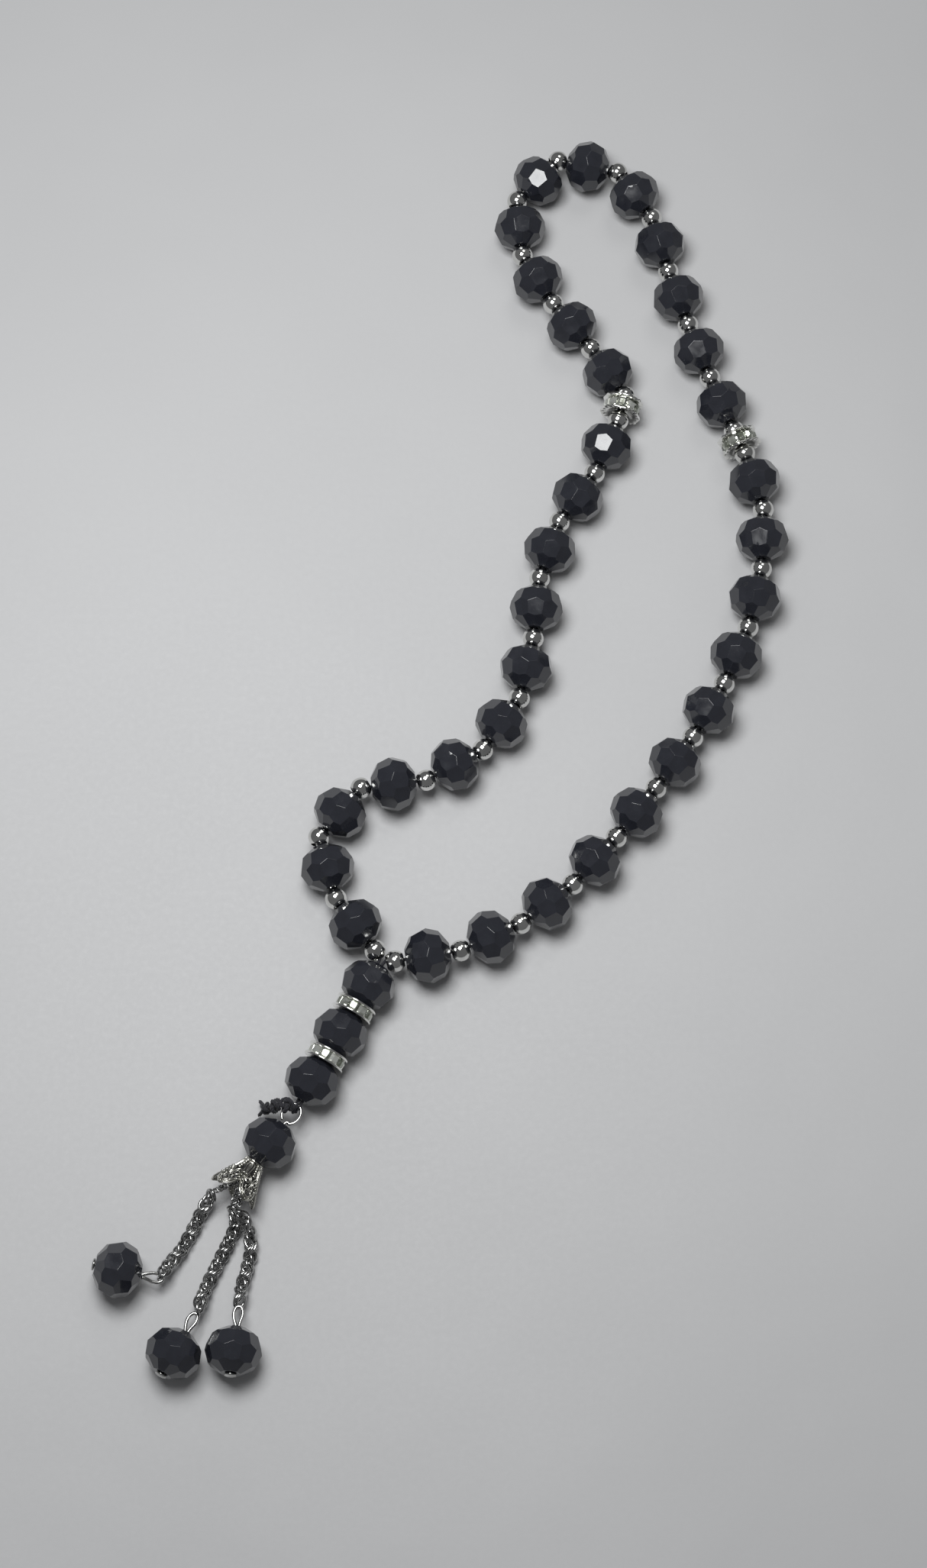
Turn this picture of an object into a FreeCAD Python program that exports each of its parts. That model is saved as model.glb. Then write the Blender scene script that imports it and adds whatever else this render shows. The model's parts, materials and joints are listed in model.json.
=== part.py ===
"""Misbaha prayer beads: a closed loop of 33 faceted glass beads with a head and a three-chain tassel.

The strand lies flat on the XY plane. Lengths are millimetres, +Z is up, the head and the tassel are
towards -Y, and the origin is under the middle of the whole outline, on the surface the beads lie on.
The beads are threaded on one cord. A small metal ball sits between every two neighbours, and the
strand bends at the centres of those balls. The loop is divided into four lengths of strand that
swing about four of the balls, which stand at the corners of an exact parallelogram.
"""
import FreeCAD, Part
import math
import os

from FreeCAD import Placement, Rotation, Vector

doc = FreeCAD.newDocument("misbaha")

# ---------------------------------------------------------------- driving dimensions, millimetres
DIMENSIONS = {
    "bead_length": 8.2,          # glass bead, end to end along its hole
    "equator_inradius": 4.93,    # to the middle of a facet, at the bead's waist
    "shoulder_height": 2.7,      # from the waist to where the two rows of facets meet
    "shoulder_inradius": 3.95,
    "end_inradius": 1.75,        # the flat round the hole
    "facet_count": 10,           # facets in one row
    "bead_hole": 1.6,            # diameter
    "ball_size": 4.0,
    "ball_hole": 2.2,
    "cord_size": 0.7,
    "divider_size": 8.0,         # rondelle set with stones, diameter over the flanges
    "divider_length": 3.0,
    "flange_thickness": 0.45,
    "waist_size": 6.2,
    "dish_size": 4.8,            # hollow in each end of a rondelle, where a ball nests
    "dish_depth": 0.9,
    "head_ring_length": 2.4,
    "scallop_size": 1.9,         # bites out of the divider's flanges
    "stone_size": 1.4,
    "stone_table": 0.8,
    "stone_height": 0.8,
    "stone_count": 10,
    "wire_size": 0.7,
    "eye_radius": 1.6,           # centre line of the eyepin's upper eye
    "cap_eye_radius": 1.2,       # centre line of the eye inside the cap
    "pin_eye_radius": 1.2,
    "pin_neck": 1.5,             # bare wire between a drop bead and its eye
    "pin_head_size": 2.2,
    "pin_head_thickness": 0.4,
    "cap_length": 7.0,
    "cap_top_radius": 1.8,
    "cap_hem_radius": 4.9,
    "cap_wall": 0.45,
    "chain_size": 2.6,
    "chain_neck_size": 1.2,      # the few links inside the cap
}
sheet = doc.addObject("Spreadsheet::Sheet", "Sizes")
for row, (alias, value) in enumerate(DIMENSIONS.items(), start=1):
    sheet.set(f"A{row}", alias)
    sheet.set(f"B{row}", str(value))
    sheet.setAlias(f"B{row}", alias)
doc.recompute()


def size(alias):
    """The number in the sheet's cell of this name."""
    return float(sheet.get(alias))


# ---------------------------------------------------------------- the layout on the table
AXIS_HEIGHT = 5.06               # the beads rest on the table, so their holes are a radius up
ROUTE_SAMPLES = 6000
UP = Vector(0, 0, 1)

# The corners of the parallelogram; the fourth one, RIGHT_TOP, follows from the other three.
LEFT_BOTTOM = Vector(5.5, -5.4, AXIS_HEIGHT)
LEFT_TOP = Vector(27.0, 50.1, AXIS_HEIGHT)
RIGHT_BOTTOM = Vector(37.5, -12.9, AXIS_HEIGHT)
RIGHT_TOP = LEFT_TOP + RIGHT_BOTTOM - LEFT_BOTTOM

# The head runs from the loop down to the knot, the tassel on from the knot.
HEAD_BEAD_CENTRE = Vector(-15.4, -50.2, AXIS_HEIGHT)
HEAD_DIRECTION = Vector(-0.488, -0.873, 0).normalize()
TASSEL_DIRECTION = Vector(-0.588, -0.809, 0).normalize()
JUNCTION_RISE = 6.25             # from the first head bead's centre back to the two last balls
JUNCTION_SPREAD = 2.1            # half the distance between those two balls

# Places that the strand passes through, from the head up the left side and down the right.
LEFT_TAIL = [(-21.5, -33.9), (-24.7, -22.4), (-17.0, -12.9), (-5.0, -11.4)]
LEFT_SIDE = [(12.3, 4.6), (15.0, 16.6), (16.3, 28.6), (20.2, 40.1)]
TOP = [(31.5, 60.6), (33.0, 65.6), (26.7, 76.1), (19.5, 85.6), (13.5, 96.1), (12.5, 108.1), (20.8, 117.0),
       (32.4, 114.4), (39.0, 104.1), (42.0, 92.6), (45.7, 80.9), (49.7, 69.6), (54.0, 58.6)]
RIGHT_SIDE = [(58.3, 30.6), (55.4, 18.6), (50.7, 7.6), (44.6, -2.9)]
RIGHT_TAIL = [(30.0, -22.4), (21.8, -31.4), (12.0, -38.9), (1.0, -43.9)]

BEADS_PER_SECTION = 11           # a divider follows every eleventh bead
BEAD_ROLL_STEP = 11              # degrees that each bead is turned further than the one before
BALL_NEST = 1.0                  # a ball's centre, out from the end of the divider it nests in
SLACK_LIMIT = 1.0                # most spare cord looked for at one link
SLACK_STEPS = 40


def flat(points):
    """Table points raised to the height of the beads' holes."""
    return [Vector(x, y, AXIS_HEIGHT) for x, y in points]


def side_of(direction):
    """The unit vector on the table that points to the right of a direction."""
    return direction.cross(UP).normalize()


def placed(centre, direction, roll=0.0):
    """A placement that stands a piece's own Z axis along direction, turned by roll degrees."""
    upright = Rotation(Vector(), UP, direction, "ZYX")
    return Placement(centre, upright * Rotation(UP, roll))


def sampled_route(points):
    """Close points along one smooth curve through the given ones."""
    curve = Part.BSplineCurve()
    curve.interpolate(points)
    return curve.discretize(Number=ROUTE_SAMPLES)


def nearest(route, point):
    """The number of the route's sample that lies nearest to a point."""
    return min(range(len(route)), key=lambda number: route[number].distanceToPoint(point))


def walk(route, lengths, slack):
    """Step along the route by chords of the given lengths; None if it ends before the last one."""
    stops = [route[0]]
    number = 0
    for length in lengths:
        reach = length + slack
        while number < len(route) and stops[-1].distanceToPoint(route[number]) < reach:
            number += 1
        if number == len(route):
            return None
        before = stops[-1].distanceToPoint(route[number - 1])
        after = stops[-1].distanceToPoint(route[number])
        share = (reach - before) / (after - before)
        stops.append(route[number - 1] + (route[number] - route[number - 1]) * share)
    return stops


def lay_links(route, start, end, lengths):
    """Ball centres from start to end along the route, with the spare cord shared out evenly."""
    stretch = route[nearest(route, start):nearest(route, end) + 1]
    low, high = 0.0, SLACK_LIMIT
    stops = walk(stretch, lengths, low)
    if stops is None:
        raise RuntimeError(f"the route from {start} to {end} is too short for its beads")
    for _ in range(SLACK_STEPS):
        slack = (low + high) / 2
        tried = walk(stretch, lengths, slack)
        if tried is None:
            high = slack
        else:
            low = slack
            stops = tried
    print(f"stretch of {len(lengths)} links, spare cord {low:.2f} mm at each")
    stops[0] = start
    stops[-1] = end
    return stops


ball_radius = size("ball_size") / 2
seat = ball_radius - math.sqrt(ball_radius ** 2 - (size("bead_hole") / 2) ** 2)
bead_link = size("bead_length") + 2 * (ball_radius - seat)
divider_link = size("divider_length") + 2 * BALL_NEST

junction = HEAD_BEAD_CENTRE - HEAD_DIRECTION * JUNCTION_RISE
junction_left = junction + side_of(HEAD_DIRECTION) * JUNCTION_SPREAD
junction_right = junction - side_of(HEAD_DIRECTION) * JUNCTION_SPREAD

route = sampled_route(
    [junction_left] + flat(LEFT_TAIL) + [LEFT_BOTTOM] + flat(LEFT_SIDE) + [LEFT_TOP] + flat(TOP)
    + [RIGHT_TOP] + flat(RIGHT_SIDE) + [RIGHT_BOTTOM] + flat(RIGHT_TAIL) + [junction_right])

five_beads = [bead_link] * 5
top_links = ([bead_link, divider_link] + [bead_link] * BEADS_PER_SECTION + [divider_link, bead_link])
strands = {
    "left_tail": lay_links(route, junction_left, LEFT_BOTTOM, five_beads),
    "left": lay_links(route, LEFT_BOTTOM, LEFT_TOP, five_beads),
    "top": lay_links(route, LEFT_TOP, RIGHT_TOP, top_links),
    "right": lay_links(route, RIGHT_TOP, RIGHT_BOTTOM, five_beads),
    "right_tail": lay_links(route, RIGHT_BOTTOM, junction_right, five_beads),
}
joints_of_cord = (strands["left_tail"] + strands["left"][1:] + strands["top"][1:]
                  + strands["right"][1:] + strands["right_tail"][1:])
DIVIDER_LINKS = (BEADS_PER_SECTION, 2 * BEADS_PER_SECTION + 1)


def link_centre(number):
    """The middle of one link of the strand and the direction that it runs in."""
    first, second = joints_of_cord[number], joints_of_cord[number + 1]
    return (first + second) / 2, (second - first).normalize()


bead_links = [n for n in range(len(joints_of_cord) - 1) if n not in DIVIDER_LINKS]
loop_places = [link_centre(number) for number in bead_links]
divider_places = [link_centre(number) for number in DIVIDER_LINKS]

RING_DIP = 0.26                  # a bead's end sits this far inside a head ring's dish
head_pitch = size("bead_length") + size("head_ring_length") - 2 * RING_DIP
head_places = [(HEAD_BEAD_CENTRE + HEAD_DIRECTION * head_pitch * n, HEAD_DIRECTION)
               for n in range(3)]
ring_places = [(HEAD_BEAD_CENTRE + HEAD_DIRECTION * head_pitch * (n + 0.5), HEAD_DIRECTION)
               for n in range(2)]
head_end = head_places[-1][0] + HEAD_DIRECTION * size("bead_length") / 2

# The tassel hangs from the cord's loop, with a little play between one piece and the next.
PLAY = 0.1
LOOP_BELOW_HEAD = 1.6            # where the knot's loop holds the eye, below the last head bead
tassel_pivot = head_end + (HEAD_DIRECTION + TASSEL_DIRECTION).normalize() * LOOP_BELOW_HEAD
eye_centre = tassel_pivot + TASSEL_DIRECTION * size("eye_radius")
eye_to_bead = size("eye_radius") + size("wire_size") / 2 + PLAY + size("bead_length") / 2
tassel_bead_place = (eye_centre + TASSEL_DIRECTION * eye_to_bead, TASSEL_DIRECTION)
cap_top = tassel_bead_place[0] + TASSEL_DIRECTION * (size("bead_length") / 2 + PLAY)
CAP_EYE_DEPTH = 3.4
cap_eye_centre = cap_top + TASSEL_DIRECTION * CAP_EYE_DEPTH

# The drop beads: where each one lies, the way its pin points on the table, and the pin's dip.
DROPS = [((-58.9, -101.4), 169), ((-48.7, -115.9), 243), ((-38.2, -115.5), 265)]
PIN_RISE = 12                    # degrees that each pin climbs from its eye to its bead
pin_reach = size("bead_length") / 2 + PLAY + size("pin_neck") + size("pin_eye_radius")


def pin_direction(heading):
    """The way a headpin points, from its eye to its flat head."""
    level = math.cos(math.radians(PIN_RISE))
    return Vector(level * math.cos(math.radians(heading)), level * math.sin(math.radians(heading)),
                  math.sin(math.radians(PIN_RISE)))


drop_places = [(Vector(x, y, AXIS_HEIGHT), pin_direction(heading)) for (x, y), heading in DROPS]
pin_eyes = [centre - direction * pin_reach for centre, direction in drop_places]

# The chains' middles from the cap's mouth, down onto the table, and up to the pins' eyes.
CHAIN_ROUTES = [
    [(-42.4, -87.5, 4.1), (-44.4, -90.3, 2.2), (-46.2, -93.9, 1.4), (-48.4, -97.9, 1.7), (-50.6, -100.8, 2.9)],
    [(-39.2, -89.8, 2.7), (-38.6, -93.0, 1.4), (-40.4, -97.4, 1.4), (-42.6, -102.0, 1.4), (-43.8, -104.8, 1.9),
     (-44.5, -107.2, 3.0)],
    [(-37.9, -90.8, 5.4), (-36.3, -93.8, 2.6), (-35.8, -97.4, 1.4), (-36.5, -101.2, 1.4), (-37.2, -103.8, 1.9),
     (-37.4, -106.0, 3.0)],
]

# ---------------------------------------------------------------- building helpers
pieces = []                      # every sub-part that is written to a file


def labelled(thing, label):
    """Name a finished sub-part and keep it for writing."""
    thing.Label = label
    pieces.append(thing)
    return thing


def primitive(kind, name, sizes, base=None, rotation=None):
    """A Part primitive whose properties are bound to expressions on the sheet's cells."""
    thing = doc.addObject(f"Part::{kind}", name)
    if rotation is not None:
        thing.Placement = Placement(Vector(), rotation)
    for prop, expression in sizes.items():
        thing.setExpression(prop, expression)
    for axis, expression in (base or {}).items():
        thing.setExpression(f"Placement.Base.{axis}", expression)
    return thing


def joined(name, things):
    """One solid from several that touch or overlap."""
    fuse = doc.addObject("Part::MultiFuse", name)
    fuse.Shapes = things
    return fuse


def cut_away(name, base, tools):
    """The base with every tool taken out of it."""
    tool = tools[0] if len(tools) == 1 else joined(f"{name}_tools", tools)
    cut = doc.addObject("Part::Cut", name)
    cut.Base = base
    cut.Tool = tool
    return cut


def copies(name, master, placements):
    """The master repeated at each placement, as one object."""
    placed_copies = []
    for number, placement in enumerate(placements, start=1):
        one = doc.addObject("Part::Compound", f"{name}_{number}")
        one.Links = [master]
        one.Placement = placement
        placed_copies.append(one)
    if len(placed_copies) == 1:
        return placed_copies[0]
    group = doc.addObject("Part::Compound", name)
    group.Links = placed_copies
    return group


STRAIGHT_ENOUGH = 0.002          # half turns, in radians, that need no arc
ARC_SHARE = 0.45                 # most of a run that one arc may take
VOLUME_TOLERANCE = 0.01
bend_radii = []


def rounded_path(points, room):
    """Straight runs joined by tangent arcs that start `room` away from each corner."""
    edges = []
    start = points[0]
    for before, corner, after in zip(points, points[1:], points[2:]):
        incoming = (corner - before).normalize()
        outgoing = (after - corner).normalize()
        half_turn = incoming.getAngle(outgoing) / 2
        if half_turn < STRAIGHT_ENOUGH:
            continue
        cut = min(room, ARC_SHARE * corner.distanceToPoint(before),
                  ARC_SHARE * corner.distanceToPoint(after))
        radius = cut / math.tan(half_turn)
        bend_radii.append(radius)
        middle = corner + (outgoing - incoming).normalize() * (radius / math.cos(half_turn) - radius)
        arc_start = corner - incoming * cut
        arc_end = corner + outgoing * cut
        edges.append(Part.LineSegment(start, arc_start).toShape())
        edges.append(Part.Arc(arc_start, middle, arc_end).toShape())
        start = arc_end
    edges.append(Part.LineSegment(start, points[-1]).toShape())
    return Part.Wire(edges)


def tube(points, diameter, room):
    """A round solid along a rounded path, checked by its volume."""
    path = rounded_path(points, room)
    circle = Part.makeCircle(diameter / 2, points[0], points[1] - points[0])
    solid = path.makePipeShell([Part.Wire([circle])], True, False)
    expected = math.pi * diameter ** 2 / 4 * path.Length
    if abs(solid.Volume / expected - 1) > VOLUME_TOLERANCE:
        raise RuntimeError(f"tube volume {solid.Volume:.3f}, expected {expected:.3f}")
    return solid, path.Length


def shaped(name, shape):
    """A sub-part whose shape is worked out above from the sheet's sizes."""
    feature = doc.addObject("Part::Feature", name)
    feature.Shape = shape
    return feature


# ---------------------------------------------------------------- the faceted bead, its hole along Z
HALF_STEP = "180 / Sizes.facet_count"
BELT_SLOPE = "(Sizes.equator_inradius - Sizes.shoulder_inradius) / Sizes.shoulder_height"
END_SLOPE = ("(Sizes.shoulder_inradius - Sizes.end_inradius)"
             " / (Sizes.bead_length / 2 - Sizes.shoulder_height)")


def facet_drum(name, wide, narrow, narrow_side, turned):
    """A tapered many-sided drum as long as the bead; its sides are one row of facets."""
    sections = []
    for side, inradius in ((-narrow_side, wide), (narrow_side, narrow)):
        polygon = doc.addObject("Part::RegularPolygon", f"{name}_{'top' if side > 0 else 'bottom'}")
        polygon.setExpression("Polygon", "Sizes.facet_count")
        polygon.setExpression("Circumradius", f"({inradius}) / cos({HALF_STEP})")
        polygon.setExpression("Placement.Base.z", f"{side} * Sizes.bead_length / 2")
        polygon.setExpression("Placement.Rotation.Angle", f"{turned} * {HALF_STEP}")
        sections.append(polygon)
    loft = doc.addObject("Part::Loft", name)
    loft.Sections = sections
    loft.Solid = True
    loft.Ruled = True
    return loft


belt_wide = f"Sizes.equator_inradius + {BELT_SLOPE} * Sizes.bead_length / 2"
belt_narrow = f"Sizes.equator_inradius - {BELT_SLOPE} * Sizes.bead_length / 2"
end_wide = f"Sizes.end_inradius + {END_SLOPE} * Sizes.bead_length"
end_narrow = "Sizes.end_inradius"
facets = doc.addObject("Part::MultiCommon", "bead_facets")
facets.Shapes = [
    facet_drum("belt_above", belt_wide, belt_narrow, 1, 0),
    facet_drum("belt_below", belt_wide, belt_narrow, -1, 1),
    facet_drum("end_above", end_wide, end_narrow, 1, 1),
    facet_drum("end_below", end_wide, end_narrow, -1, 0),
]
bead_hole = primitive("Cylinder", "bead_hole", {"Radius": "Sizes.bead_hole / 2",
                                                "Height": "2 * Sizes.bead_length"},
                      {"z": "-Sizes.bead_length"})
bead = cut_away("bead", facets, [bead_hole])

for number, (centre, direction) in enumerate(loop_places, start=1):
    place = placed(centre, direction, BEAD_ROLL_STEP * number)
    labelled(copies(f"bead_{number:02}", bead, [place]), f"counting_bead_{number:02}")
for number, (centre, direction) in enumerate(head_places, start=1):
    place = placed(centre, direction, BEAD_ROLL_STEP * number)
    labelled(copies(f"head_{number}", bead, [place]), f"head_bead_{number}")
labelled(copies("tassel", bead, [placed(*tassel_bead_place)]), "tassel_bead")
for number, (centre, direction) in enumerate(drop_places, start=1):
    place = placed(centre, direction, BEAD_ROLL_STEP * number)
    labelled(copies(f"drop_{number}", bead, [place]), f"drop_bead_{number}")

# ---------------------------------------------------------------- spacer balls
ball = cut_away("ball", primitive("Sphere", "ball_solid", {"Radius": "Sizes.ball_size / 2"}),
                [primitive("Cylinder", "ball_hole", {"Radius": "Sizes.ball_hole / 2",
                                                     "Height": "2 * Sizes.ball_size"},
                           {"z": "-Sizes.ball_size"})])
head_hole = HEAD_BEAD_CENTRE - HEAD_DIRECTION * size("bead_length") / 2


def run(number):
    """The direction of the strand's run into one of its balls, counted from the head."""
    if number == 0:
        return (junction_left - head_hole).normalize()
    if number == len(joints_of_cord):
        return (head_hole - junction_right).normalize()
    return (joints_of_cord[number] - joints_of_cord[number - 1]).normalize()


def ball_place(number):
    """A ball on the cord, its hole halfway between the runs on its two sides."""
    return placed(joints_of_cord[number], (run(number) + run(number + 1)).normalize())


LAST = len(joints_of_cord) - 1
LEFT_BOTTOM_BALL = 5
LEFT_TOP_BALL = 10
RIGHT_TOP_BALL = LAST - 10
RIGHT_BOTTOM_BALL = LAST - 5
BALL_GROUPS = {
    "spacer_balls_head": [*range(0, LEFT_BOTTOM_BALL + 1), *range(RIGHT_BOTTOM_BALL, LAST + 1)],
    "spacer_balls_left": list(range(LEFT_BOTTOM_BALL + 1, LEFT_TOP_BALL)),
    "spacer_balls_top": list(range(LEFT_TOP_BALL, RIGHT_TOP_BALL + 1)),
    "spacer_balls_right": list(range(RIGHT_TOP_BALL + 1, RIGHT_BOTTOM_BALL)),
}
for label, numbers in BALL_GROUPS.items():
    labelled(copies(label, ball, [ball_place(number) for number in numbers]), label)

# ---------------------------------------------------------------- the cord, in four lengths
CORD_REACH = 2.05                # the cord turns this far out from a ball's centre
CORD_LEAN = 0.66                 # and leans to the inside of the turn by this share of its offset
CORD_BEND_ROOM = 0.8
PIVOT_GAP = 0.3                  # between two cord ends inside a pivot ball
CORD_SPREAD = 0.37               # half the distance between the two strands in the head
HEAD_FLARE = 0.4                 # the strands part this far above the first head bead


def turn_at(number):
    """The cord's direction through a ball and its lean to the inside of the turn there."""
    before, after = run(number), run(number + 1)
    half_turn = before.getAngle(after) / 2
    inside = after - before
    if inside.Length > 0:
        inside.normalize()
    return (before + after).normalize(), inside * CORD_LEAN * CORD_REACH * math.sin(half_turn)


def through_ball(number):
    """The cord's two corners, just outside a ball's hole."""
    along, lean = turn_at(number)
    centre = joints_of_cord[number]
    return [centre - along * CORD_REACH + lean, centre + along * CORD_REACH + lean]


def end_in_ball(number, side):
    """Where a length of cord stops inside a pivot ball: side is +1 after its middle, -1 before."""
    along, lean = turn_at(number)
    return joints_of_cord[number] + along * side * PIVOT_GAP / 2 + lean


def strand_points(first, last):
    """The corners of the cord from one pivot ball to another."""
    points = [end_in_ball(first, 1), through_ball(first)[1]]
    for number in range(first + 1, last):
        points += through_ball(number)
    return points + [through_ball(last)[0], end_in_ball(last, -1)]


cord_length = 0.0
for label, first, last in (("cord_left", LEFT_BOTTOM_BALL, LEFT_TOP_BALL),
                           ("cord_top", LEFT_TOP_BALL, RIGHT_TOP_BALL),
                           ("cord_right", RIGHT_TOP_BALL, RIGHT_BOTTOM_BALL)):
    solid, length = tube(strand_points(first, last), size("cord_size"), CORD_BEND_ROOM)
    cord_length += length
    labelled(shaped(label, solid), label)

# The rest of the cord: both strands down through the head, the loop round the eye, and the knots.
loop_radius = 1.0
loop_direction = (HEAD_DIRECTION + TASSEL_DIRECTION).normalize()
loop_top = tassel_pivot - loop_direction * loop_radius
KNOTS = [(-29.6, -72.0, 6.5), (-31.5, -71.8, 5.2), (-32.9, -72.2, 3.9)]
KNOT_RADIUS = 1.05
CORD_ENDS = [(-34.8, -73.3, 1.6), (-34.7, -70.9, 1.5)]


def head_strand(side):
    """Points of one strand from the knot's loop up through the head to the junction ball."""
    offset = side_of(HEAD_DIRECTION) * side * CORD_SPREAD
    return [loop_top + HEAD_DIRECTION * CORD_SPREAD + offset,
            head_hole - HEAD_DIRECTION * HEAD_FLARE + offset]


left_points = head_strand(1)
for number in range(0, LEFT_BOTTOM_BALL):
    left_points += through_ball(number)
left_points += [through_ball(LEFT_BOTTOM_BALL)[0], end_in_ball(LEFT_BOTTOM_BALL, -1)]
right_points = [end_in_ball(RIGHT_BOTTOM_BALL, 1), through_ball(RIGHT_BOTTOM_BALL)[1]]
for number in range(RIGHT_BOTTOM_BALL + 1, LAST + 1):
    right_points += through_ball(number)
right_points += head_strand(-1)[::-1]

head_cord = []
for points in (left_points, right_points):
    solid, length = tube(points, size("cord_size"), CORD_BEND_ROOM)
    cord_length += length
    head_cord.append(solid)
head_cord.append(Part.makeTorus(loop_radius, size("cord_size") / 2, tassel_pivot,
                                side_of(loop_direction)))
knot_points = [loop_top] + [Vector(*point) for point in KNOTS]
for start, end in zip(knot_points, knot_points[1:]):
    head_cord.append(Part.makeCylinder(size("cord_size") / 2, (end - start).Length, start, end - start))
    head_cord.append(Part.makeSphere(KNOT_RADIUS, end))
for point in CORD_ENDS:
    end = Vector(*point)
    start = knot_points[-1]
    head_cord.append(Part.makeCylinder(size("cord_size") / 2, (end - start).Length, start, end - start))
labelled(shaped("cord_head", head_cord[0].fuse(head_cord[1:])), "cord_head")
print(f"cord in the strands {cord_length:.0f} mm, bends of {min(bend_radii):.1f} mm radius and up")

# ---------------------------------------------------------------- rondelles set with stones
FULL_TURN = 360
SCALLOP_CENTRE = 4.5             # from the rondelle's axis to the middle of each bite
STONE_GAP = 0.03


def around(name, radius, height):
    """Upright cylinders in a ring, one for each stone, to cut a scalloped flange."""
    tools = []
    for number in range(int(size("stone_count"))):
        angle = math.radians(FULL_TURN * (number + 0.5) / size("stone_count"))
        centre = Vector(math.cos(angle), math.sin(angle), 0) * SCALLOP_CENTRE
        tool = primitive("Cylinder", f"{name}_{number + 1}", {"Radius": radius, "Height": height},
                         {"z": f"-({height}) / 2"})
        tool.Placement = Placement(centre, Rotation())
        tools.append(tool)
    return tools


def rondelle(name, length, scalloped):
    """A channelled metal ring: two flanges, a waist for the stones, and a dish in each end."""
    body = [primitive("Cylinder", f"{name}_waist", {"Radius": "Sizes.waist_size / 2", "Height": length},
                      {"z": f"-({length}) / 2"})]
    tools = [primitive("Cylinder", f"{name}_bore", {"Radius": "Sizes.bead_hole / 2",
                                                    "Height": f"2 * {length}"}, {"z": f"-({length})"})]
    for end in (1, -1):
        side = "upper" if end > 0 else "lower"
        flange_base = f"({length}) / 2 - Sizes.flange_thickness" if end > 0 else f"-({length}) / 2"
        body.append(primitive("Cylinder", f"{name}_{side}_flange",
                              {"Radius": "Sizes.divider_size / 2", "Height": "Sizes.flange_thickness"},
                              {"z": flange_base}))
        narrow, wide = "Sizes.bead_hole / 2", "Sizes.dish_size / 2"
        dish_sizes = {"Radius1": narrow if end > 0 else wide, "Radius2": wide if end > 0 else narrow,
                      "Height": "Sizes.dish_depth"}
        dish_base = f"({length}) / 2 - Sizes.dish_depth" if end > 0 else f"-({length}) / 2"
        tools.append(primitive("Cone", f"{name}_{side}_dish", dish_sizes, {"z": dish_base}))
    if scalloped:
        tools += around(f"{name}_scallop", "Sizes.scallop_size / 2", f"2 * ({length})")
    return cut_away(name, joined(f"{name}_metal", body), tools)


divider = rondelle("divider", "Sizes.divider_length", True)
head_ring = rondelle("head_ring", "Sizes.head_ring_length", False)
stone = primitive("Cone", "stone", {"Radius1": "Sizes.stone_size / 2", "Radius2": "Sizes.stone_table / 2",
                                    "Height": "Sizes.stone_height"})


def stones_round(centre, direction):
    """Placements of one ring of stones, bedded in a rondelle's waist and facing outwards."""
    ring = placed(centre, direction)
    places = []
    for number in range(int(size("stone_count"))):
        outward = Rotation(UP, FULL_TURN * number / size("stone_count")).multVec(Vector(1, 0, 0))
        local = placed(outward * (size("waist_size") / 2 + STONE_GAP), outward)
        places.append(ring * local)
    return places


labelled(copies("dividers", divider, [placed(*place) for place in divider_places]), "divider_frames")
labelled(copies("divider_gems", stone, [one for place in divider_places for one in stones_round(*place)]),
         "divider_stones")
labelled(copies("head_rings", head_ring, [placed(*place) for place in ring_places]), "head_ring_frames")
labelled(copies("head_gems", stone, [one for place in ring_places for one in stones_round(*place)]),
         "head_ring_stones")

# ---------------------------------------------------------------- tassel: eyepin, cap, pins, chains
EYE_FLAT = Rotation(Vector(1, 0, 0), 90)
eyepin_top = f"-({eye_to_bead} - Sizes.eye_radius)"
eyepin_length = (cap_eye_centre - tassel_bead_place[0]).Length
eyepin = joined("eyepin", [
    primitive("Torus", "upper_eye", {"Radius1": "Sizes.eye_radius", "Radius2": "Sizes.wire_size / 2"},
              {"z": f"-{eye_to_bead}"}, EYE_FLAT),
    primitive("Cylinder", "eyepin_wire", {"Radius": "Sizes.wire_size / 2",
                                          "Height": f"{eyepin_length} - Sizes.cap_eye_radius - {eyepin_top}"},
              {"z": eyepin_top}),
    primitive("Torus", "lower_eye", {"Radius1": "Sizes.cap_eye_radius", "Radius2": "Sizes.wire_size / 2"},
              {"z": f"{eyepin_length}"}, EYE_FLAT)])
eyepin.Placement = placed(*tassel_bead_place)
labelled(eyepin, "eyepin")

cap = cut_away("cap", primitive("Cone", "cap_outside", {"Radius1": "Sizes.cap_top_radius",
                                                        "Radius2": "Sizes.cap_hem_radius",
                                                        "Height": "Sizes.cap_length"}),
               [primitive("Cone", "cap_inside", {"Radius1": "Sizes.cap_top_radius - Sizes.cap_wall",
                                                 "Radius2": "Sizes.cap_hem_radius - Sizes.cap_wall",
                                                 "Height": "Sizes.cap_length"},
                          {"z": "Sizes.cap_wall"}),
                primitive("Cylinder", "cap_hole", {"Radius": "Sizes.wire_size", "Height": "2 * Sizes.cap_wall"},
                          {"z": "-Sizes.cap_wall / 2"})])
cap.Placement = placed(cap_top, TASSEL_DIRECTION)
labelled(cap, "bead_cap")

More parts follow.
